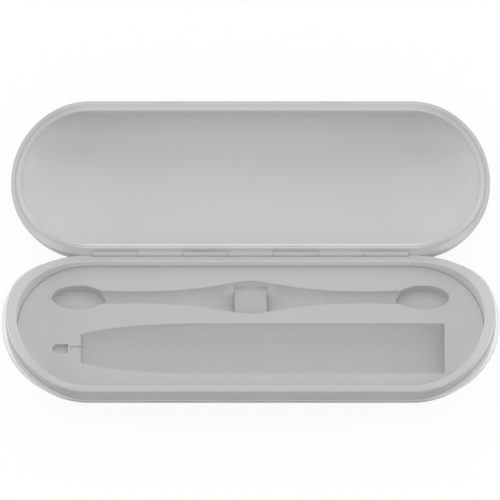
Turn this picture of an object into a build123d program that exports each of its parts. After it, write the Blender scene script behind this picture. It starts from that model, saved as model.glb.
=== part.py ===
from build123d import *
import os
from math import cos, radians, sin, sqrt

# Travel case for an electric toothbrush: a long rounded clamshell that lies on its flat underside.
# Millimetres, +X along the case, +Y towards the hinge, +Z up, origin on the middle of the underside.
# The lid is modelled closed and then swung open about the hinge pin, until its crown leans on the table.

# Plan form: every outline is a stadium about the same two end centres
endCentreX = 80.5
bodyRadius = 43.7          # base shell at its widest
recessRadius = 36.1        # wall between the rim and the tray
lidRadius = 40.0
lidSeamRadius = 37.2       # joint line between lid shell and lid liner
tongueRadius = 35.75       # bead of the liner that drops into the recess
lidMouthRadius = 34.4      # open mouth of the liner
linerLedgeRadius = 36.6    # step inside the lid shell that the liner butts against

# Heights
rimHeight = 24.0
ledgeDrop = 6.0            # from the rim down to the ledge of the base shell
trayDrop = 4.4             # from the rim down to the tray
bodyWidestHeight = 25.0
lidShoulderHeight = 33.0
closedGap = 0.3            # between the closed rims
tongueDrop = 0.5
linerSeat = 2.0            # from the lid's rim up to the step for the liner
lidBandHeight = 4.0        # thick band round the lid's rim

# The parting line is level along the middle and sweeps up at both ends
levelHalfLength = endCentreX
sweepRadius = 85.0

# Wall thicknesses and edge rounding
floorThickness = 2.0
trayThickness = 1.6
lidWall = 1.8
linerThickness = 1.2
rimRounding = 0.5
recessRounding = 0.4
ledgeRounding = 0.3
lidRimBevel = 2.2            # slope round the outside of the lid's rim
tongueRounding = 0.25

# Flanks of the base shell, outside and inside, as radius and height up from the flat underside
bodyFlank = ((24.0, 0.0), (30.5, 1.9), (37.6, 9.6), (42.1, 18.7), (bodyRadius, bodyWidestHeight))
cavityFlank = ((23.0, floorThickness), (29.4, 3.8), (35.7, 10.6), (38.0, 14.8), (38.4, 17.4))
shoulderReach = 8.0        # the shell leans in above its widest height, which shows at both ends
shoulderHeight = 6.0

# Flanks of the lid
lidFlank = 15.0
vaultDepth = 2.6           # from the top of the lid shell's inside down to the liner
vaultShoulderHeight = 32.0
vaultFlank = 20.0

# Base frame: the outer wall of the rim tapers, and turns upright towards both ends
rimWallFoot = (14.0, 78.9, 41.7)      # height, end centre and radius of its plan form
rimWallTop = (40.0, 85.9, 36.5)
frameSkirtRadius = 38.0
frameSkirtBottom = 16.5
shelfRadius = 34.6
shelfThickness = 1.3
trayClearance = 0.15

# Handle trough along the front of the tray; radii are those of its mouth
handleY = -12.0
handleRadius = 14.6
handleRise = 4.0           # its axis lies this far above the tray
handleEndX = 96.7
neckEndX = -84.6
neckRadius = 8.6
neckLand = 0.8
neckSlope = 0.3
taperMidX = -66.0
taperMidRadius = 12.2
taperEndX = -20.0
shaftSlotEnds = (-98.8, -91.2)
shaftSlotWidth = 5.0
shaftSlotDepth = 2.6
shaftGrooveEnd = -89.6
shaftGrooveWidth = 2.9
shaftGrooveDepth = 0.8

# Two brush head nests, end to end along the back of the tray
headY = 17.8
headOvalX = 86.0
headOvalLength = 26.6
headOvalWidth = 13.8
headOvalDepth = 6.2
stemRadius = 3.5
stemMouthRadius = 4.0
stemNarrowX = 50.0
stemMeetX = 76.0
stemSlope = 0.06
flareRadius = 9.6
flareMidX = 10.3
flareMidRadius = 8.1
flareRootX = 25.3
flareRootRadius = 5.4
bridgeLength = 16.0
bridgeDepth = 5.0
bridgeReach = 8.3          # from the heads' line to the straight ends of the bridge

# Hinge along the straight back edge
hingeY = 40.93
hingeZ = 22.0
hingeHalfLength = 79.0
barrelRadius = 1.9
pinRadius = 0.75
pinClearance = 0.05
knuckleCount = 7
knuckleGap = 0.2
barrelClearance = 0.12
hingeReliefY = 38.9        # the base rim is cut back behind this line for the barrels
pedestalBack = 0.5         # foot of the base knuckles behind the pin
leafOverlap = 1.0
openAngle = 163.0
tableGap = 0.05            # under the open lid

# Closure magnets in the front edges
magnetX = 42.0
magnetLength = 12.0
magnetWidth = 1.4
magnetHeight = 2.2
magnetY = -38.4
magnetCover = 1.1

reach = 70.0               # beyond the whole case
spare = 1.0                # that a cutter runs past the face it opens

# Height of the closed lid, from where its crown meets the table when it is open
swing = radians(openAngle)
crownTurn = hingeY - lidRadius + lidFlank
crownCentre = hingeZ + crownTurn * sin(swing) + (lidShoulderHeight - hingeZ) * cos(swing)
crownRun = sqrt((crownCentre - tableGap) ** 2 - (lidFlank * sin(swing)) ** 2)
lidTopHeight = lidShoulderHeight - crownRun / cos(swing)
vaultHeight = lidTopHeight - lidWall - vaultDepth


def prism(radius, low, high):
    return Pos(0, 0, low) * extrude(SlotCenterToCenter(2 * endCentreX, 2 * radius), high - low)


def ring(outer, inner, low, high):
    return prism(outer, low, high) - prism(inner, low - spare, high + spare)


def sweepRise(x):
    run = max(abs(x) - levelHalfLength, 0.0)
    return sweepRadius - sqrt(sweepRadius ** 2 - run ** 2)


def belowParting(level):
    # everything under the parting surface when that surface is lifted by level
    endX = levelHalfLength + reach * 0.75
    midX = levelHalfLength + reach * 0.4
    z = rimHeight + level
    midZ = z + sweepRise(midX)
    endZ = z + sweepRise(endX)
    lines = Line((-levelHalfLength, z), (levelHalfLength, z))
    lines += ThreePointArc((levelHalfLength, z), (midX, midZ), (endX, endZ))
    lines += Polyline((endX, endZ), (endX, -reach), (-endX, -reach), (-endX, endZ))
    lines += ThreePointArc((-endX, endZ), (-midX, midZ), (-levelHalfLength, z))
    return extrude(Plane.XZ * make_face(lines), reach, both=True)


def sweptAround(halfSection):
    # carries a section, drawn as radius and height, round the stadium
    leftStart = Plane(origin=(-endCentreX, 0, 0), x_dir=(0, 1, 0), z_dir=(1, 0, 0))
    rightStart = Plane(origin=(endCentreX, 0, 0), x_dir=(0, -1, 0), z_dir=(-1, 0, 0))
    leftEnd = revolve(leftStart * halfSection, Axis((-endCentreX, 0, 0), (0, 0, 1)), 180)
    rightEnd = revolve(rightStart * halfSection, Axis((endCentreX, 0, 0), (0, 0, 1)), 180)
    back = extrude(leftStart * halfSection, 2 * endCentreX)
    front = mirror(back, about=Plane.XZ)
    return leftEnd + rightEnd + back + front


def bowl(flank):
    # rounded underside up to its last flank point, straight above it
    bottom = flank[0][1]
    radius, widest = flank[-1]
    lines = Line((0, bottom), flank[0])
    lines += Spline(*flank, tangents=((1, 0), (0, 1)))
    lines += Polyline((radius, widest), (radius, reach), (0, reach), (0, bottom))
    return sweptAround(make_face(lines))


def roundShouldered(radius, low, widest):
    # everything inside a wall that leans in over the top of an elliptical shoulder
    top = widest + shoulderHeight
    inner = radius - shoulderReach
    lines = Polyline((0, top), (0, low), (radius, low), (radius, widest))
    lines += EllipticalCenterArc((inner, widest), shoulderReach, shoulderHeight, 0, arc_size=90)
    lines += Line((inner, top), (0, top))
    return sweptAround(make_face(lines))


def dome(radius, flank, shoulder, top):
    # straight wall with a rounded crown
    lines = Line((0, top), (radius - flank, top))
    lines += EllipticalCenterArc((radius - flank, shoulder), flank, top - shoulder, 0, arc_size=90)
    lines += Polyline((radius, shoulder), (radius, -spare), (0, -spare), (0, top))
    return sweptAround(make_face(lines))


def spineDistance(point):
    # distance in plan from the line between the two end centres
    overEnd = max(abs(point.X) - endCentreX, 0.0)
    return sqrt(overEnd ** 2 + point.Y ** 2)


def partingEdges(solid, level, radii=(0, reach), tolerance=0.05):
    # edges that lie on the parting surface at this level, within a range of radii of the stadium
    found = []
    for edge in solid.edges():
        points = [edge.position_at(t) for t in (0.02, 0.5, 0.98)]
        onSurface = all(abs(p.Z - rimHeight - level - sweepRise(p.X)) < tolerance for p in points)
        inRange = all(radii[0] - tolerance < spineDistance(p) < radii[1] + tolerance for p in points)
        if onSurface and inRange:
            found.append(edge)
    return found


def knuckleSpans(owner):
    # owner 0 is the base, which has the end knuckles, and owner 1 is the lid
    pitch = 2 * hingeHalfLength / knuckleCount
    spans = []
    for index in range(owner, knuckleCount, 2):
        start = -hingeHalfLength + index * pitch
        spans.append((start + knuckleGap / 2, start + pitch - knuckleGap / 2))
    return spans


def alongX(radius, start, end, y=hingeY, z=hingeZ):
    return Pos((start + end) / 2, y, z) * Rot(0, 90, 0) * Cylinder(radius, end - start)


def block(xs, ys, zs):
    size = (xs[1] - xs[0], ys[1] - ys[0], zs[1] - zs[0])
    middle = ((xs[0] + xs[1]) / 2, (ys[0] + ys[1]) / 2, (zs[0] + zs[1]) / 2)
    return Pos(*middle) * Box(*size)


def magnetBlock(low, high):
    bars = None
    for x in (-magnetX, magnetX):
        bar = block((x - magnetLength / 2, x + magnetLength / 2),
                    (magnetY - magnetWidth / 2, magnetY + magnetWidth / 2), (low, high))
        bars = bar if bars is None else bars + bar
    return bars


def pinBore():
    return alongX(pinRadius + pinClearance, -hingeHalfLength - spare, hingeHalfLength + spare)


def baseShell():
    outside = bowl(bodyFlank) & roundShouldered(bodyRadius, -spare, bodyWidestHeight)
    outside = outside & belowParting(-ledgeDrop)
    outside = fillet(partingEdges(outside, -ledgeDrop), ledgeRounding)
    return outside - bowl(cavityFlank)


def rimWall():
    # tapering body of the rim between two plan forms
    plans = []
    for height, centreX, radius in (rimWallFoot, rimWallTop):
        plans.append(Pos(0, 0, height) * SlotCenterToCenter(2 * centreX, 2 * radius))
    return loft(plans, ruled=True)


def baseFrame():
    # rim that stands on the ledge of the shell, a skirt inside the shell, and a shelf for the tray
    rim = rimWall() & belowParting(0)
    rim = fillet(partingEdges(rim, 0), rimRounding)
    rim -= prism(recessRadius, 0, reach)
    rim = fillet(partingEdges(rim, 0, (recessRadius, recessRadius)), recessRounding)
    rim -= belowParting(-ledgeDrop)
    skirt = ring(frameSkirtRadius, recessRadius, frameSkirtBottom, reach) & belowParting(-ledgeDrop)
    shelfTop = rimHeight - trayDrop - trayThickness
    shelf = ring(frameSkirtRadius, shelfRadius, shelfTop - shelfThickness, shelfTop)
    frame = rim + skirt + shelf
    halfRelief = hingeHalfLength + knuckleGap
    frame -= block((-halfRelief, halfRelief), (hingeReliefY, bodyRadius),
                   (hingeZ - barrelRadius - barrelClearance, rimHeight + spare))
    for start, end in knuckleSpans(0):
        frame += alongX(barrelRadius, start, end)
        frame += block((start, end), (hingeReliefY, hingeY + pedestalBack), (rimHeight - ledgeDrop, hingeZ))
    frame -= pinBore()
    return frame - magnetBlock(rimHeight - ledgeDrop - spare, rimHeight - magnetCover)


def handleTrough(extra):
    # round body with a tapering neck, sunk nearly to its axis; extra grows it by the tray wall
    axisHeight = rimHeight - trayDrop + handleRise
    mouths = (neckRadius, taperMidRadius, handleRadius)
    r0, rMid, r1 = (sqrt(radius ** 2 + handleRise ** 2) + extra for radius in mouths)
    neckX = neckEndX - extra
    buttX = handleEndX + extra
    landEnd = neckEndX + neckLand
    lines = Polyline((neckX, 0), (neckX, r0), (landEnd, r0))
    lines += Spline((landEnd, r0), (taperMidX, rMid), (taperEndX, r1), tangents=((1, neckSlope), (1, 0)))
    lines += Polyline((taperEndX, r1), (buttX, r1), (buttX, 0), (neckX, 0))
    return Pos(0, handleY, axisHeight) * revolve(make_face(lines), Axis.X, 360)


def shaftSlot(extra):
    # blind slot with a round end, and a shallow groove between it and the neck
    top = rimHeight - trayDrop
    start, end = shaftSlotEnds
    radius = shaftSlotWidth / 2
    half = radius + extra
    floor = top - shaftSlotDepth - extra
    slot = block((start + radius, end + extra), (handleY - half, handleY + half), (floor, top + spare))
    slot += Pos(start + radius, handleY, floor) * extrude(Circle(half), shaftSlotDepth + extra + spare)
    half = shaftGrooveWidth / 2 + extra
    groove = block((shaftGrooveEnd, neckEndX + spare), (handleY - half, handleY + half),
                   (top - shaftGrooveDepth - extra, top + spare))
    return slot + groove


def headNests(extra):
    # a stem that flares to the middle of the case, the same on both sides, with an oval at each end
    top = rimHeight - trayDrop
    right = Line((0, flareRadius + extra), (0, 0))
    right += Line((0, 0), (stemMeetX, 0))
    right += Line((stemMeetX, 0), (stemMeetX, stemMouthRadius + extra))
    right += Spline((stemMeetX, stemMouthRadius + extra), (stemNarrowX, stemRadius + extra),
                    (flareRootX, flareRootRadius + extra), (flareMidX, flareMidRadius + extra),
                    (0, flareRadius + extra), tangents=((-1, -stemSlope), (-1, stemSlope)))
    stem = revolve(make_face(right), Axis.X, 360)
    nest = stem + mirror(stem, about=Plane.YZ)
    for x in (-headOvalX, headOvalX):
        oval = Ellipse(headOvalLength / 2 + extra, headOvalWidth / 2 + extra)
        nest += Pos(x, 0, -headOvalDepth - extra) * extrude(oval, headOvalDepth + extra + spare)
    return Pos(0, headY, top) * nest


def trayInsert():
    top = rimHeight - trayDrop
    plate = prism(recessRadius - trayClearance, top - trayThickness, top)
    under = handleTrough(trayThickness) + shaftSlot(trayThickness) + headNests(trayThickness)
    under &= prism(shelfRadius - trayClearance, 0, top)
    tray = plate + under
    tray -= handleTrough(0)
    tray -= shaftSlot(0)
    tray -= headNests(0)
    across = (-bridgeLength / 2, bridgeLength / 2)
    tray -= block(across, (headY - bridgeReach, headY + bridgeReach), (top - bridgeDepth, top))
    bridge = block(across, (headY - flareRadius, headY + flareRadius), (top - flareRadius, top - bridgeDepth))
    return tray + bridge


def lidShell():
    # domed cover with a thick band round its rim, stepped inside for the liner
    outside = dome(lidRadius, lidFlank, lidShoulderHeight, lidTopHeight) - belowParting(closedGap)
    outside = chamfer(partingEdges(outside, closedGap), lidRimBevel)
    inside = dome(lidRadius - lidWall, lidFlank - lidWall, lidShoulderHeight, lidTopHeight - lidWall)
    inside = inside - belowParting(closedGap + lidBandHeight)
    seat = prism(lidSeamRadius, 0, reach) & belowParting(closedGap + linerSeat)
    step = prism(linerLedgeRadius, 0, reach) & belowParting(closedGap + lidBandHeight + spare)
    shell = outside - inside - seat - step
    leafTop = rimHeight + closedGap + lidRimBevel + leafOverlap
    for start, end in knuckleSpans(1):
        shell += alongX(barrelRadius, start, end)
        shell += block((start, end), (hingeY - barrelRadius, lidRadius), (hingeZ, leafTop))
    shell -= pinBore()
    low = rimHeight + closedGap + magnetCover
    return shell - magnetBlock(low, low + magnetHeight)


def lidLiner():
    # vaulted inner skin with a flange against the lid's band and a bead that drops into the recess
    grow = linerThickness
    liner = dome(lidMouthRadius + grow, vaultFlank + grow, vaultShoulderHeight, vaultHeight + grow)
    liner -= belowParting(closedGap)
    flange = ring(lidSeamRadius, lidMouthRadius, 0, reach)
    liner += (flange & belowParting(closedGap + linerSeat)) - belowParting(closedGap)
    tongue = ring(tongueRadius, lidMouthRadius, 0, reach)
    liner += (tongue & belowParting(closedGap + spare)) - belowParting(closedGap - tongueDrop)
    liner -= dome(lidMouthRadius, vaultFlank, vaultShoulderHeight, vaultHeight)
    return fillet(partingEdges(liner, closedGap - tongueDrop), tongueRounding)


def hingePins():
    # one pin pushed in from each end, the two nearly meeting in the middle knuckle
    pins = []
    for side in (-1, 1):
        ends = sorted((side * knuckleGap / 2, side * (hingeHalfLength - knuckleGap)))
        pins.append(alongX(pinRadius, *ends))
    return pins


def swungOpen(shape):
    return shape.rotate(Axis((0, hingeY, hingeZ), (1, 0, 0)), -openAngle)


def baseMagnets():
    high = rimHeight - magnetCover
    return magnetBlock(high - magnetHeight, high)


def lidMagnets():
    low = rimHeight + closedGap + magnetCover
    return magnetBlock(low, low + magnetHeight)


os.makedirs("parts", exist_ok=True)
nodes = {
    "base_shell": baseShell(),
    "base_frame": baseFrame(),
    "tray_insert": trayInsert(),
    "base_magnets": baseMagnets(),
    "hinge_pins": Compound(hingePins()),
    "lid_shell": swungOpen(lidShell()),
    "lid_liner": swungOpen(lidLiner()),
    "lid_magnets": swungOpen(lidMagnets()),
}
for name, shape in nodes.items():
    export_step(shape, f"parts/{name}.step")
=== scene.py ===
import math

import bpy
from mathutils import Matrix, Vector

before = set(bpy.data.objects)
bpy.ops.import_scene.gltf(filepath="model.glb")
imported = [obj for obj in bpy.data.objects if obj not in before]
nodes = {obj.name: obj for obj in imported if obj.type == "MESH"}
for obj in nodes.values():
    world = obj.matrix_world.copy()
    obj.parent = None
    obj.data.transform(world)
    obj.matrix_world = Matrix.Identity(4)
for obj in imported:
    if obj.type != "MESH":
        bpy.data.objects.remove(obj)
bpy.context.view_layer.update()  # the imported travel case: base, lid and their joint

print("stage: frame loaded")

mm = 0.001


# small helpers for building node trees

def addNode(tree, kind, **settings):
    node = tree.nodes.new(kind)
    for name, value in settings.items():
        setattr(node, name, value)
    return node


def setInputs(node, values):
    for name, value in values.items():
        node.inputs[name].default_value = value
    return node


def join(tree, source, target):
    tree.links.new(source, target)


def feed(tree, value, socket):
    # a socket is linked, a plain value is typed in
    if isinstance(value, bpy.types.NodeSocket):
        join(tree, value, socket)
    else:
        socket.default_value = value


def mathNode(tree, operation, *values, clamp=False):
    node = addNode(tree, "ShaderNodeMath", operation=operation, use_clamp=clamp)
    for socket, value in zip(node.inputs, values):
        feed(tree, value, socket)
    return node.outputs[0]


def newGroup(name, inputs, outputs):
    group = bpy.data.node_groups.new(name, "ShaderNodeTree")
    for label, kind, value in inputs:
        socket = group.interface.new_socket(label, in_out="INPUT", socket_type=kind)
        socket.default_value = value
    for label, kind in outputs:
        group.interface.new_socket(label, in_out="OUTPUT", socket_type=kind)
    return group, group.nodes.new("NodeGroupInput"), group.nodes.new("NodeGroupOutput")


def useGroup(tree, group, values):
    return setInputs(addNode(tree, "ShaderNodeGroup", node_tree=group), values)


def noiseAt(tree, place, settings):
    noise = setInputs(addNode(tree, "ShaderNodeTexNoise"), settings)
    join(tree, place, noise.inputs["Vector"])
    return noise


def objectPlace(tree):
    return addNode(tree, "ShaderNodeTexCoord").outputs["Object"]


def hypotenuse(tree, first, second):
    squares = [mathNode(tree, "POWER", side, 2.0) for side in (first, second)]
    return mathNode(tree, "SQRT", mathNode(tree, "ADD", *squares))


# surface effects that several finishes share

grainForm = {
    "coarseDetail": 3.0, "coarseRoughness": 0.65, "coarseShare": 0.7,
    "pitScale": 0.7, "pitSmoothness": 0.6, "pitShare": 0.5, "speckleGain": 2.0,
}


def makeMouldGrain():
    # spark-eroded mould texture: fine pits of two sizes that never line up
    group, given, out = newGroup(
        "mouldGrain",
        [("Pit Size", "NodeSocketFloat", 0.5), ("Depth", "NodeSocketFloat", 1.0)],
        [("Height", "NodeSocketFloat"), ("Speckle", "NodeSocketFloat")])
    place = objectPlace(group)
    perMetre = mathNode(group, "DIVIDE", 1.0 / mm, given.outputs["Pit Size"])
    coarse = noiseAt(group, place, {"Detail": grainForm["coarseDetail"],
                                    "Roughness": grainForm["coarseRoughness"]})
    join(group, perMetre, coarse.inputs["Scale"])
    pits = addNode(group, "ShaderNodeTexVoronoi", feature="SMOOTH_F1")
    setInputs(pits, {"Smoothness": grainForm["pitSmoothness"], "Randomness": 1.0})
    join(group, place, pits.inputs["Vector"])
    join(group, mathNode(group, "MULTIPLY", perMetre, grainForm["pitScale"]), pits.inputs["Scale"])
    bumps = mathNode(group, "MULTIPLY", coarse.outputs["Fac"], grainForm["coarseShare"])
    dents = mathNode(group, "MULTIPLY", pits.outputs["Distance"], grainForm["pitShare"])
    blend = mathNode(group, "ADD", bumps, dents)
    join(group, mathNode(group, "MULTIPLY", blend, given.outputs["Depth"]), out.inputs["Height"])
    centred = mathNode(group, "SUBTRACT", coarse.outputs["Fac"], 0.5)
    speckle = mathNode(group, "MULTIPLY_ADD", centred, grainForm["speckleGain"], 0.5)  # swings about one half
    join(group, speckle, out.inputs["Speckle"])
    return group


driftForm = {"Detail": 2.0, "Roughness": 0.5, "Distortion": 0.6}


def makeToneDrift():
    # slow change of tone over a moulding, from the way the melt filled it
    group, given, out = newGroup(
        "toneDrift",
        [("Patch Size", "NodeSocketFloat", 40.0), ("Stretch", "NodeSocketVector", (1.0, 1.0, 1.0))],
        [("Drift", "NodeSocketFloat")])
    stretched = addNode(group, "ShaderNodeVectorMath", operation="MULTIPLY")
    join(group, objectPlace(group), stretched.inputs[0])
    join(group, given.outputs["Stretch"], stretched.inputs[1])
    cloud = noiseAt(group, stretched.outputs[0], driftForm)
    join(group, mathNode(group, "DIVIDE", 1.0 / mm, given.outputs["Patch Size"]), cloud.inputs["Scale"])
    join(group, mathNode(group, "SUBTRACT", cloud.outputs["Fac"], 0.5), out.inputs["Drift"])
    return group


wearForm = {"samples": 6, "steepness": 5.0, "patches": {"Scale": 220.0, "Detail": 3.0, "Roughness": 0.6}}


def makeEdgeWear():
    # rubbed edges: where a rounded normal leaves the true one, broken up by noise
    group, given, out = newGroup(
        "edgeWear",
        [("Width", "NodeSocketFloat", 0.4), ("Broken", "NodeSocketFloat", 0.5)],
        [("Mask", "NodeSocketFloat"), ("Soft Normal", "NodeSocketVector")])
    rounded = addNode(group, "ShaderNodeBevel", samples=wearForm["samples"])
    join(group, mathNode(group, "MULTIPLY", given.outputs["Width"], mm), rounded.inputs["Radius"])
    agreement = addNode(group, "ShaderNodeVectorMath", operation="DOT_PRODUCT")
    join(group, rounded.outputs["Normal"], agreement.inputs[0])
    join(group, addNode(group, "ShaderNodeNewGeometry").outputs["Normal"], agreement.inputs[1])
    turned = mathNode(group, "MULTIPLY", mathNode(group, "SUBTRACT", 1.0, agreement.outputs["Value"]),
                      wearForm["steepness"], clamp=True)
    patches = noiseAt(group, objectPlace(group), wearForm["patches"])
    gap = mathNode(group, "MULTIPLY", patches.outputs["Fac"], given.outputs["Broken"])
    join(group, mathNode(group, "SUBTRACT", turned, gap, clamp=True), out.inputs["Mask"])
    join(group, rounded.outputs["Normal"], out.inputs["Soft Normal"])
    return group


handlingForm = {
    "patch": {"Scale": 38.0, "Detail": 4.0, "Roughness": 0.6},
    "lay": {"Rotation": (0.0, 0.2, 0.6), "Scale": (12.0, 420.0, 420.0)},
    "line": {"Scale": 3.0, "Detail": 2.0, "Roughness": 0.5},
    "lineFrom": 0.66, "lineSharpness": 12.0,
}


def makeHandling():
    # faint hairlines and rubbed patches left by hands and bags
    group, given, out = newGroup(
        "handling",
        [("Amount", "NodeSocketFloat", 0.5)],
        [("Rub", "NodeSocketFloat"), ("Hairline", "NodeSocketFloat")])
    place = objectPlace(group)
    patch = noiseAt(group, place, handlingForm["patch"])
    turned = setInputs(addNode(group, "ShaderNodeMapping"), handlingForm["lay"])
    join(group, place, turned.inputs["Vector"])
    lines = noiseAt(group, turned.outputs["Vector"], handlingForm["line"])
    peaks = mathNode(group, "SUBTRACT", lines.outputs["Fac"], handlingForm["lineFrom"])
    thin = mathNode(group, "MULTIPLY", peaks, handlingForm["lineSharpness"], clamp=True)
    rub = mathNode(group, "SUBTRACT", patch.outputs["Fac"], 0.5)
    join(group, mathNode(group, "MULTIPLY", rub, given.outputs["Amount"]), out.inputs["Rub"])
    join(group, mathNode(group, "MULTIPLY", thin, given.outputs["Amount"]), out.inputs["Hairline"])
    return group


caseForm = {  # millimetres and degrees, as the solids have them
    "hinge": (0.0, 40.93, 22.0), "rimHeight": 24.0,
    "spineEnd": 80.5, "sweepRadius": 85.0, "openAngle": 163.0,
}
placeNames = ("Along", "Half Length", "Across", "Height", "Rim Level", "Spine Radius", "Hinge Distance")


def makeCasePlace():
    # where a point lies on the closed case, in millimetres, whatever way its piece has swung
    group, given, out = newGroup(
        "casePlace",
        [("Swing", "NodeSocketFloat", 0.0)],
        [(label, "NodeSocketFloat") for label in placeNames])
    closed = addNode(group, "ShaderNodeVectorRotate", rotation_type="X_AXIS")
    join(group, objectPlace(group), closed.inputs["Vector"])
    closed.inputs["Center"].default_value = Vector(caseForm["hinge"]) * mm
    join(group, given.outputs["Swing"], closed.inputs["Angle"])
    scaled = addNode(group, "ShaderNodeVectorMath", operation="SCALE")
    scaled.inputs["Scale"].default_value = 1.0 / mm
    join(group, closed.outputs[0], scaled.inputs[0])
    parts = addNode(group, "ShaderNodeSeparateXYZ")
    join(group, scaled.outputs[0], parts.inputs[0])
    along, across, height = parts.outputs
    halfLength = mathNode(group, "ABSOLUTE", along)
    beyond = mathNode(group, "MAXIMUM", mathNode(group, "SUBTRACT", halfLength, caseForm["spineEnd"]), 0.0)
    sweep = caseForm["sweepRadius"]
    arc = mathNode(group, "SUBTRACT", sweep ** 2, mathNode(group, "POWER", beyond, 2.0))
    rise = mathNode(group, "SUBTRACT", sweep, mathNode(group, "SQRT", arc))  # how far the rim sweeps up here
    level = mathNode(group, "SUBTRACT", mathNode(group, "SUBTRACT", height, rise), caseForm["rimHeight"])
    radius = hypotenuse(group, beyond, across)
    axisY, axisZ = caseForm["hinge"][1:]
    fromHinge = hypotenuse(group, mathNode(group, "SUBTRACT", across, axisY),
                           mathNode(group, "SUBTRACT", height, axisZ))
    for label, value in zip(placeNames, (along, halfLength, across, height, level, radius, fromHinge)):
        join(group, value, out.inputs[label])
    return group


mouldGrain = makeMouldGrain()
toneDrift = makeToneDrift()
edgeWear = makeEdgeWear()
handling = makeHandling()
casePlace = makeCasePlace()
print("stage: surface effects made")


# finishes

def mixColour(tree, amount, first, second):
    node = addNode(tree, "ShaderNodeMix", data_type="RGBA", clamp_factor=True)
    for index, value in ((0, amount), (6, first), (7, second)):  # the colour sockets of a mix node
        feed(tree, value, node.inputs[index])
    return node.outputs[2]


def grey(level):
    return (level, level, level, 1.0)


def paintedLightAndShade(tree, zones, swing):
    # product of the tone changes, which paint light and shade by place: each zone fades in over (from, to)
    # ranges of its place on the case
    place = useGroup(tree, casePlace, {"Swing": math.radians(swing)})
    total = 1.0
    for gain, ranges in zones:
        mask = 1.0
        for label, (start, full) in ranges:
            ramp = addNode(tree, "ShaderNodeMapRange", interpolation_type="SMOOTHSTEP")
            setInputs(ramp, {"From Min": start, "From Max": full})
            join(tree, place.outputs[label], ramp.inputs["Value"])
            mask = mathNode(tree, "MULTIPLY", ramp.outputs[0], mask)
        change = mathNode(tree, "MULTIPLY_ADD", mask, gain, 1.0)
        total = mathNode(tree, "MULTIPLY", change, total)
    return total


def addRelief(tree, shader, height, wear, strength, depth):
    # fine height over the softened edges
    bump = setInputs(addNode(tree, "ShaderNodeBump"), {"Strength": strength, "Distance": depth * mm})
    join(tree, height, bump.inputs["Height"])
    join(tree, wear.outputs["Soft Normal"], bump.inputs["Normal"])
    join(tree, bump.outputs["Normal"], shader.inputs["Normal"])


plasticWear = {"rubRoughness": 0.3, "hairlinePolish": 0.12, "hairlineDepth": 0.25}  # on all mouldings


def plasticMaterial(name, look, zones, swing=0.0):
    # matt moulded plastic: tone drift, speckle, rubbed edges, and a grain that only the light shows
    material = bpy.data.materials.new(name)
    material.use_nodes = True
    tree = material.node_tree
    shader = tree.nodes["Principled BSDF"]
    setInputs(shader, {"IOR": look["ior"], "Specular IOR Level": look["specular"]})
    grain = useGroup(tree, mouldGrain, {"Pit Size": look["pitSize"], "Depth": 1.0})
    drift = useGroup(tree, toneDrift, {"Patch Size": look["patchSize"], "Stretch": look["stretch"]})
    wear = useGroup(tree, edgeWear, {"Width": look["edgeWidth"], "Broken": look["edgeBroken"]})
    marks = useGroup(tree, handling, {"Amount": look["handling"]})

    tone = mathNode(tree, "MULTIPLY_ADD", drift.outputs["Drift"], look["driftContrast"], 0.5)
    speckled = mathNode(tree, "MULTIPLY_ADD", grain.outputs["Speckle"], look["speckleContrast"], tone)
    body = mixColour(tree, speckled, grey(look["level"] * (1 - look["spread"])),
                     grey(look["level"] * (1 + look["spread"])))
    edge = mathNode(tree, "MULTIPLY", wear.outputs["Mask"], look["edgeFade"])
    # painted light and shade: the zone tones lighten and darken places where light or shade falls
    zoned = addNode(tree, "ShaderNodeVectorMath", operation="SCALE")
    join(tree, mixColour(tree, edge, body, grey(look["edgeLevel"])), zoned.inputs[0])
    join(tree, paintedLightAndShade(tree, zones, swing), zoned.inputs["Scale"])
    join(tree, zoned.outputs[0], shader.inputs["Base Color"])

    rough = mathNode(tree, "MULTIPLY_ADD", marks.outputs["Rub"], plasticWear["rubRoughness"],
                     look["roughness"])
    edgeGloss = mathNode(tree, "MULTIPLY", wear.outputs["Mask"], look["edgePolish"])
    rubbed = mathNode(tree, "SUBTRACT", rough, edgeGloss)
    lineGloss = mathNode(tree, "MULTIPLY", marks.outputs["Hairline"], plasticWear["hairlinePolish"])
    join(tree, mathNode(tree, "SUBTRACT", rubbed, lineGloss, clamp=True), shader.inputs["Roughness"])

    scored = mathNode(tree, "MULTIPLY", marks.outputs["Hairline"], plasticWear["hairlineDepth"])
    relief = mathNode(tree, "SUBTRACT", grain.outputs["Height"], scored)
    addRelief(tree, shader, relief, wear, look["grainStrength"], look["grainDepth"])
    return material


lineForm = {"Scale": 1.0, "Detail": 3.0, "Roughness": 0.6}


def metalMaterial(name, look):
    # drawn or plated metal with lines along the case and a little tarnish
    material = bpy.data.materials.new(name)
    material.use_nodes = True
    tree = material.node_tree
    shader = setInputs(tree.nodes["Principled BSDF"], {"Metallic": 1.0})
    lay = setInputs(addNode(tree, "ShaderNodeMapping"), {"Scale": look["lineScale"]})
    join(tree, objectPlace(tree), lay.inputs["Vector"])
    lines = noiseAt(tree, lay.outputs["Vector"], lineForm)
    stain = useGroup(tree, toneDrift, {"Patch Size": look["stainSize"]})
    wear = useGroup(tree, edgeWear, {"Width": look["edgeWidth"], "Broken": look["edgeBroken"]})
    tone = mathNode(tree, "ADD", lines.outputs["Fac"], stain.outputs["Drift"], clamp=True)
    body = mixColour(tree, tone, look["dark"], look["bright"])
    join(tree, mixColour(tree, wear.outputs["Mask"], body, look["edge"]), shader.inputs["Base Color"])
    rough = mathNode(tree, "MULTIPLY_ADD", lines.outputs["Fac"], look["roughnessSpread"], look["roughness"])
    join(tree, rough, shader.inputs["Roughness"])
    addRelief(tree, shader, lines.outputs["Fac"], wear, look["lineStrength"], look["lineDepth"])
    return material


def dress(nodeName, material):
    # the CAD piece keeps its mesh and takes this finish
    piece = nodes[nodeName]
    piece.data.materials.clear()
    piece.data.materials.append(material)
    return piece


# the outer shells: base and lid from the same grained mould

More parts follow.
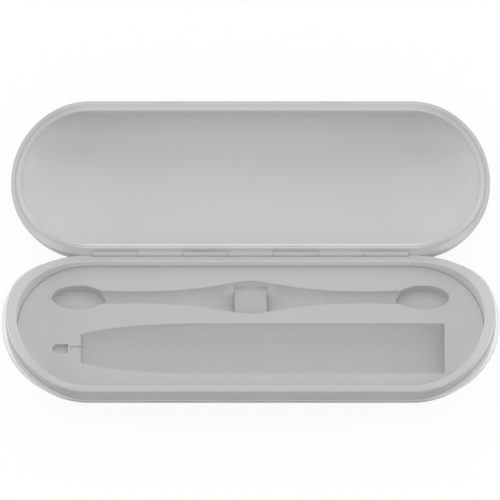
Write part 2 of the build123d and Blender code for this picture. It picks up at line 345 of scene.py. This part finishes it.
shellLook = {
    "level": 0.57, "spread": 0.10,
    "driftContrast": 0.5, "speckleContrast": 0.35, "patchSize": 60.0, "stretch": (0.5, 1.0, 1.0),
    "pitSize": 0.55, "grainStrength": 0.5, "grainDepth": 0.05,
    "roughness": 0.52, "ior": 1.5, "specular": 0.45,
    "edgeWidth": 0.5, "edgeBroken": 0.6, "edgeLevel": 0.66, "edgeFade": 0.6, "edgePolish": 0.12,
    "handling": 0.5,
    "baseZones": (
        (0.22, (("Rim Level", (-6.7, -6.3)),)),  # painted highlight on the lip that the frame stands on
        (0.14, (("Half Length", (84.0, 112.0)),)),  # painted light on the ends, where side light falls
        (-0.15, (("Across", (-38.0, -40.0)), ("Half Length", (96.0, 84.0)))),  # painted shade on the front, which faces away from the light
    ),
    "lidZones": (
        (-0.15, (("Hinge Distance", (3.0, 2.2)),)),  # painted shade at the knuckles, in the crease between lid and base
        (-0.12, (("Across", (26.0, 37.0)), ("Spine Radius", (38.0, 37.7)))),  # painted shade on the flat rim beside the hinge, in the valley between lid and base
        (0.42, (("Across", (20.0, 37.0)), ("Spine Radius", (37.7, 38.5)), ("Hinge Distance", (2.2, 3.0)),
                ("Half Length", (92.0, 78.0)), ("Rim Level", (3.6, 2.8)))),  # painted light on the bevel above the knuckles, against the shade that falls there
        (-0.26, (("Half Length", (80.0, 104.0)), ("Across", (36.0, 20.0)),
                 ("Rim Level", (5.0, 3.0)))),  # rim darker at the ends
    ),
}
dress("base_shell", plasticMaterial("baseShellPlastic", shellLook, shellLook["baseZones"]))
dress("lid_shell", plasticMaterial("lidShellPlastic", shellLook, shellLook["lidZones"],
                                   caseForm["openAngle"]))
print("stage: shells dressed")


# the base frame: smoother rim round the recess

frameLook = {
    "level": 0.56, "spread": 0.07,
    "driftContrast": 0.5, "speckleContrast": 0.22, "patchSize": 45.0, "stretch": (0.4, 1.0, 1.0),
    "pitSize": 0.4, "grainStrength": 0.3, "grainDepth": 0.03,
    "roughness": 0.46, "ior": 1.5, "specular": 0.5,
    "edgeWidth": 0.35, "edgeBroken": 0.5, "edgeLevel": 0.66, "edgeFade": 0.5, "edgePolish": 0.1,
    "handling": 0.4,
    "zones": (
        (-0.15, (("Hinge Distance", (3.0, 2.2)),)),  # painted shade at the knuckles, in the crease between lid and base
        (-0.15, (("Across", (-12.0, -24.0)), ("Half Length", (80.0, 94.0)),
                 ("Rim Level", (-0.6, -1.2)))),  # painted shade on the outer wall at the front corners, which face away from the light
        (-0.14, (("Across", (20.0, 36.6)), ("Half Length", (100.0, 80.0)), ("Spine Radius", (36.3, 36.7)),
                 ("Hinge Distance", (2.2, 3.0)))),  # painted shade on the top of the rim beside the hinge, under the raised lid
        (0.22, (("Spine Radius", (36.6, 36.2)), ("Half Length", (104.0, 82.0)))),  # painted light on the smooth wall of the recess, against the shade that falls there
        (-0.06, (("Across", (-36.5, -38.0)), ("Half Length", (100.0, 90.0)))),  # painted shade on the front wall, which faces away from the light
        (0.06, (("Half Length", (106.0, 114.0)),)),  # painted light on the ends, where side light falls
    ),
}
dress("base_frame", plasticMaterial("framePlastic", frameLook, frameLook["zones"]))
print("stage: frame dressed")


# the tray: finely grained, a little darker

trayLook = {
    "level": 0.49, "spread": 0.10,
    "driftContrast": 0.45, "speckleContrast": 0.7, "patchSize": 35.0, "stretch": (0.6, 1.0, 1.0),
    "pitSize": 0.7, "grainStrength": 0.6, "grainDepth": 0.06,
    "roughness": 0.6, "ior": 1.48, "specular": 0.4,
    "edgeWidth": 0.5, "edgeBroken": 0.35, "edgeLevel": 0.60, "edgeFade": 0.7, "edgePolish": 0.1,
    "handling": 0.35,
    "zones": (
        (0.16, (("Half Length", (84.0, 108.0)), ("Spine Radius", (26.0, 35.5)),
                ("Height", (18.8, 19.4)))),  # painted light on the border at the ends, against the shade of the end walls
        (0.17, (("Half Length", (72.0, 73.5)), ("Across", (10.0, 10.5)),
                ("Height", (15.2, 14.2)))),  # painted light on the nest floors, against the shade in the recess
        (0.18, (("Along", (-85.0, -86.5)), ("Across", (0.0, -8.0)),
                ("Height", (19.4, 18.6)))),  # painted light on the shaft slot and groove, against the shade in the recess
        (-0.02, (("Half Length", (8.6, 8.1)), ("Across", (9.0, 11.0)),
                 ("Height", (19.4, 18.8)))),  # painted shade on the bridge
        (0.05, (("Half Length", (8.1, 9.0)), ("Half Length", (40.0, 34.0)), ("Across", (2.0, 6.0)),
                ("Height", (19.4, 18.6)))),  # painted light on the flared channels, against the shade in the recess
        (0.04, (("Height", (18.8, 19.4)),)),  # painted light on the top, which faces the light
        (0.07, (("Half Length", (90.0, 80.0)), ("Across", (-3.0, 1.0)), ("Across", (6.0, 3.5)),
                ("Height", (19.4, 17.4)))),  # painted light on the back of the trough, against the shade in the recess
        (0.05, (("Across", (-16.0, -22.0)), ("Height", (19.4, 17.4)))),  # painted light on the front of the trough, against the shade in the recess
        (0.12, (("Half Length", (16.0, 8.0)), ("Across", (21.0, 24.0)),
                ("Height", (19.4, 18.6)))),  # painted light on the wall behind the bridge, against the shade in the recess
        (0.05, (("Half Length", (98.0, 106.0)), ("Height", (18.8, 19.4)))),  # painted light on the outermost part of the ends
    ),
}
dress("tray_insert", plasticMaterial("trayPlastic", trayLook, trayLook["zones"]))
print("stage: tray dressed")


# the lid liner: smooth vault with a bead that carries a painted highlight

linerLook = {
    "level": 0.57, "spread": 0.06,
    "driftContrast": 0.5, "speckleContrast": 0.18, "patchSize": 70.0, "stretch": (0.4, 1.0, 1.0),
    "pitSize": 0.45, "grainStrength": 0.25, "grainDepth": 0.03,
    "roughness": 0.5, "ior": 1.5, "specular": 0.45,
    "edgeWidth": 0.4, "edgeBroken": 0.3, "edgeLevel": 0.68, "edgeFade": 0.7, "edgePolish": 0.15,
    "handling": 0.4,
    "zones": (
        (0.14, (("Across", (-25.0, 25.0)),)),  # painted light: paler towards the hinge, where the vault faces the light from behind
        (0.07, (("Half Length", (60.0, 95.0)), ("Across", (-22.0, -8.0)),
                ("Spine Radius", (35.0, 33.5)))),  # painted light on the ends of the vault
        (-0.06, (("Across", (-24.0, -32.0)), ("Spine Radius", (34.6, 34.2)))),  # painted shade on the front of the vault, under the rim
        (0.07, (("Spine Radius", (34.45, 34.8)), ("Spine Radius", (36.9, 36.5)))),  # painted highlight on the bead
        (0.13, (("Spine Radius", (34.45, 34.8)), ("Spine Radius", (36.6, 36.2)), ("Across", (20.0, 34.0)),
                ("Half Length", (88.0, 78.0)))),  # painted highlight on the same bead beside the hinge
        (-0.18, (("Spine Radius", (36.3, 36.9)), ("Across", (26.0, 34.0)))),  # painted shade on the flange beside the hinge, in the crease between lid and base
        (-0.22, (("Spine Radius", (34.3, 34.7)), ("Half Length", (78.0, 100.0)))),  # painted shade on both at the ends, hugging the rim
    ),
}
dress("lid_liner", plasticMaterial("linerPlastic", linerLook, linerLook["zones"], caseForm["openAngle"]))
print("stage: liner dressed")


# metal inside the hinge and the edges

pinLook = {
    "dark": (0.36, 0.36, 0.37, 1.0), "bright": (0.62, 0.62, 0.63, 1.0), "edge": (0.75, 0.75, 0.76, 1.0),
    "lineScale": (60.0, 9000.0, 9000.0), "lineStrength": 0.4, "lineDepth": 0.01, "stainSize": 12.0,
    "edgeWidth": 0.15, "edgeBroken": 0.3, "roughness": 0.2, "roughnessSpread": 0.25,
}
magnetLook = {
    "dark": (0.5, 0.49, 0.46, 1.0), "bright": (0.72, 0.71, 0.67, 1.0), "edge": (0.8, 0.79, 0.75, 1.0),
    "lineScale": (900.0, 900.0, 900.0), "lineStrength": 0.4, "lineDepth": 0.01, "stainSize": 3.0,
    "edgeWidth": 0.2, "edgeBroken": 0.3, "roughness": 0.12, "roughnessSpread": 0.25,
    "cornerGap": 0.001, "edgeBreak": 0.32, "edgeSteps": 2,
}
dress("hinge_pins", metalMaterial("pinSteel", pinLook))
magnetNickel = metalMaterial("magnetNickel", magnetLook)
for nodeName in ("base_magnets", "lid_magnets"):
    magnets = dress(nodeName, magnetNickel)
    magnets.modifiers.new("joinCorners", "WELD").merge_threshold = magnetLook["cornerGap"] * mm
    edgeBreak = magnets.modifiers.new("edgeBreak", "BEVEL")
    edgeBreak.width = magnetLook["edgeBreak"] * mm
    edgeBreak.segments = magnetLook["edgeSteps"]
print("stage: metal dressed")


# floor, light and camera

studio = {
    "floorHalf": 2.5, "floorDrop": 0.0002, "floorLit": 0.3, "floorSeen": 1.0, "floorShadow": 0.08,
    "floorRoughness": 0.9, "floorSpecular": 0.1, "domeLevel": 0.84, "domeBack": 0.12,
    "topShare": 0.03, "topDirection": (0.0, 0.5, 1.0), "topDistance": 1.3, "topSize": 0.9,
    "sideShare": 0.10, "sideHeight": 0.25, "sideDistance": 1.2, "sideSize": 0.5,
    "stripShare": 0.29, "stripDistance": 0.7, "stripSize": (0.4, 0.04),
    "target": (-0.0003, 0.0428, 0.024), "elevation": 58.6, "distance": 8.0, "farthest": 20.0,
    "spanShown": 0.25, "sensor": 36.0,
}


def cameraWhite(tree, shaderOut, amount, surface):
    # camera, mirror and glass rays see plain white mixed over the lit surface
    path = addNode(tree, "ShaderNodeLightPath")
    seen = mathNode(tree, "MAXIMUM", path.outputs["Is Camera Ray"], path.outputs["Is Glossy Ray"])
    seen = mathNode(tree, "MAXIMUM", seen, path.outputs["Is Transmission Ray"])
    white = setInputs(addNode(tree, "ShaderNodeEmission"), {"Color": grey(1.0), "Strength": 1.0})
    mix = addNode(tree, "ShaderNodeMixShader")
    join(tree, mathNode(tree, "MULTIPLY", seen, amount), mix.inputs[0])
    join(tree, shaderOut, mix.inputs[1])
    join(tree, white.outputs[0], mix.inputs[2])
    join(tree, mix.outputs[0], surface)


def makeFloor():
    half, level = studio["floorHalf"], -studio["floorDrop"]  # just clear of the base's flat underside
    corners = [(-half, -half, level), (half, -half, level), (half, half, level), (-half, half, level)]
    mesh = bpy.data.meshes.new("floor")
    mesh.from_pydata(corners, [], [(0, 1, 2, 3)])
    floor = bpy.data.objects.new("floor", mesh)
    bpy.context.scene.collection.objects.link(floor)
    material = bpy.data.materials.new("floorPaper")
    material.use_nodes = True
    tree = material.node_tree
    shader = tree.nodes["Principled BSDF"]
    setInputs(shader, {"Roughness": studio["floorRoughness"], "Specular IOR Level": studio["floorSpecular"]})
    seen = addNode(tree, "ShaderNodeLightPath").outputs["Is Camera Ray"]
    tone = mixColour(tree, seen, grey(studio["floorLit"]), grey(studio["floorSeen"]))
    join(tree, tone, shader.inputs["Base Color"])
    surface = tree.nodes["Material Output"].inputs["Surface"]
    cameraWhite(tree, shader.outputs[0], 1 - studio["floorShadow"], surface)
    mesh.materials.append(material)


def makeWorld():
    # a light tent: even all over, with a little more light from behind
    world = bpy.data.worlds.new("studioWorld")
    bpy.context.scene.world = world
    world.use_nodes = True
    tree = world.node_tree
    background = setInputs(tree.nodes["Background"], {"Color": grey(1.0)})
    direction = addNode(tree, "ShaderNodeSeparateXYZ")
    join(tree, addNode(tree, "ShaderNodeTexCoord").outputs["Generated"], direction.inputs[0])
    back = mathNode(tree, "MAXIMUM", direction.outputs[1], 0.0)
    level = mathNode(tree, "MULTIPLY_ADD", back, studio["domeBack"], studio["domeLevel"])
    join(tree, level, background.inputs["Strength"])
    cameraWhite(tree, background.outputs[0], 1.0, tree.nodes["World Output"].inputs["Surface"])


def makeSoftbox(name, direction, distance, width, height, share):
    # share is what the box adds to a surface that faces it, where 1 shows colours as written
    away = Vector(direction).normalized()
    data = bpy.data.lights.new(name, "AREA")
    data.shape = "RECTANGLE"
    data.size = width
    data.size_y = height
    data.energy = math.pi ** 2 * share * distance ** 2
    lamp = bpy.data.objects.new(name, data)
    bpy.context.scene.collection.objects.link(lamp)
    lamp.visible_camera = False
    aim(lamp, away, distance)


def aim(thing, away, distance):
    # stand off from the target along this direction and look back at it
    thing.location = Vector(studio["target"]) + away * distance
    thing.rotation_mode = "QUATERNION"
    thing.rotation_quaternion = away.to_track_quat("Z", "Y")


def makeCamera():
    data = bpy.data.cameras.new("camera")
    data.sensor_width = studio["sensor"]
    data.lens = studio["sensor"] * studio["distance"] / studio["spanShown"]
    data.clip_end = studio["farthest"]
    camera = bpy.data.objects.new("camera", data)
    bpy.context.scene.collection.objects.link(camera)
    tilt = math.radians(studio["elevation"])
    aim(camera, Vector((0.0, -math.cos(tilt), math.sin(tilt))), studio["distance"])
    bpy.context.scene.camera = camera


makeFloor()
makeWorld()
makeSoftbox("softboxTop", studio["topDirection"], studio["topDistance"], studio["topSize"], studio["topSize"],
            studio["topShare"])
for side, label in ((-1.0, "softboxLeft"), (1.0, "softboxRight")):
    makeSoftbox(label, (side, 0.0, studio["sideHeight"]), studio["sideDistance"], studio["sideSize"],
                studio["sideSize"], studio["sideShare"])
    makeSoftbox(label + "Strip", (side, 0.0, 0.0), studio["stripDistance"], *studio["stripSize"],
                studio["stripShare"])
makeCamera()
bpy.context.scene.view_settings.view_transform = "Standard"
print("stage: studio made")
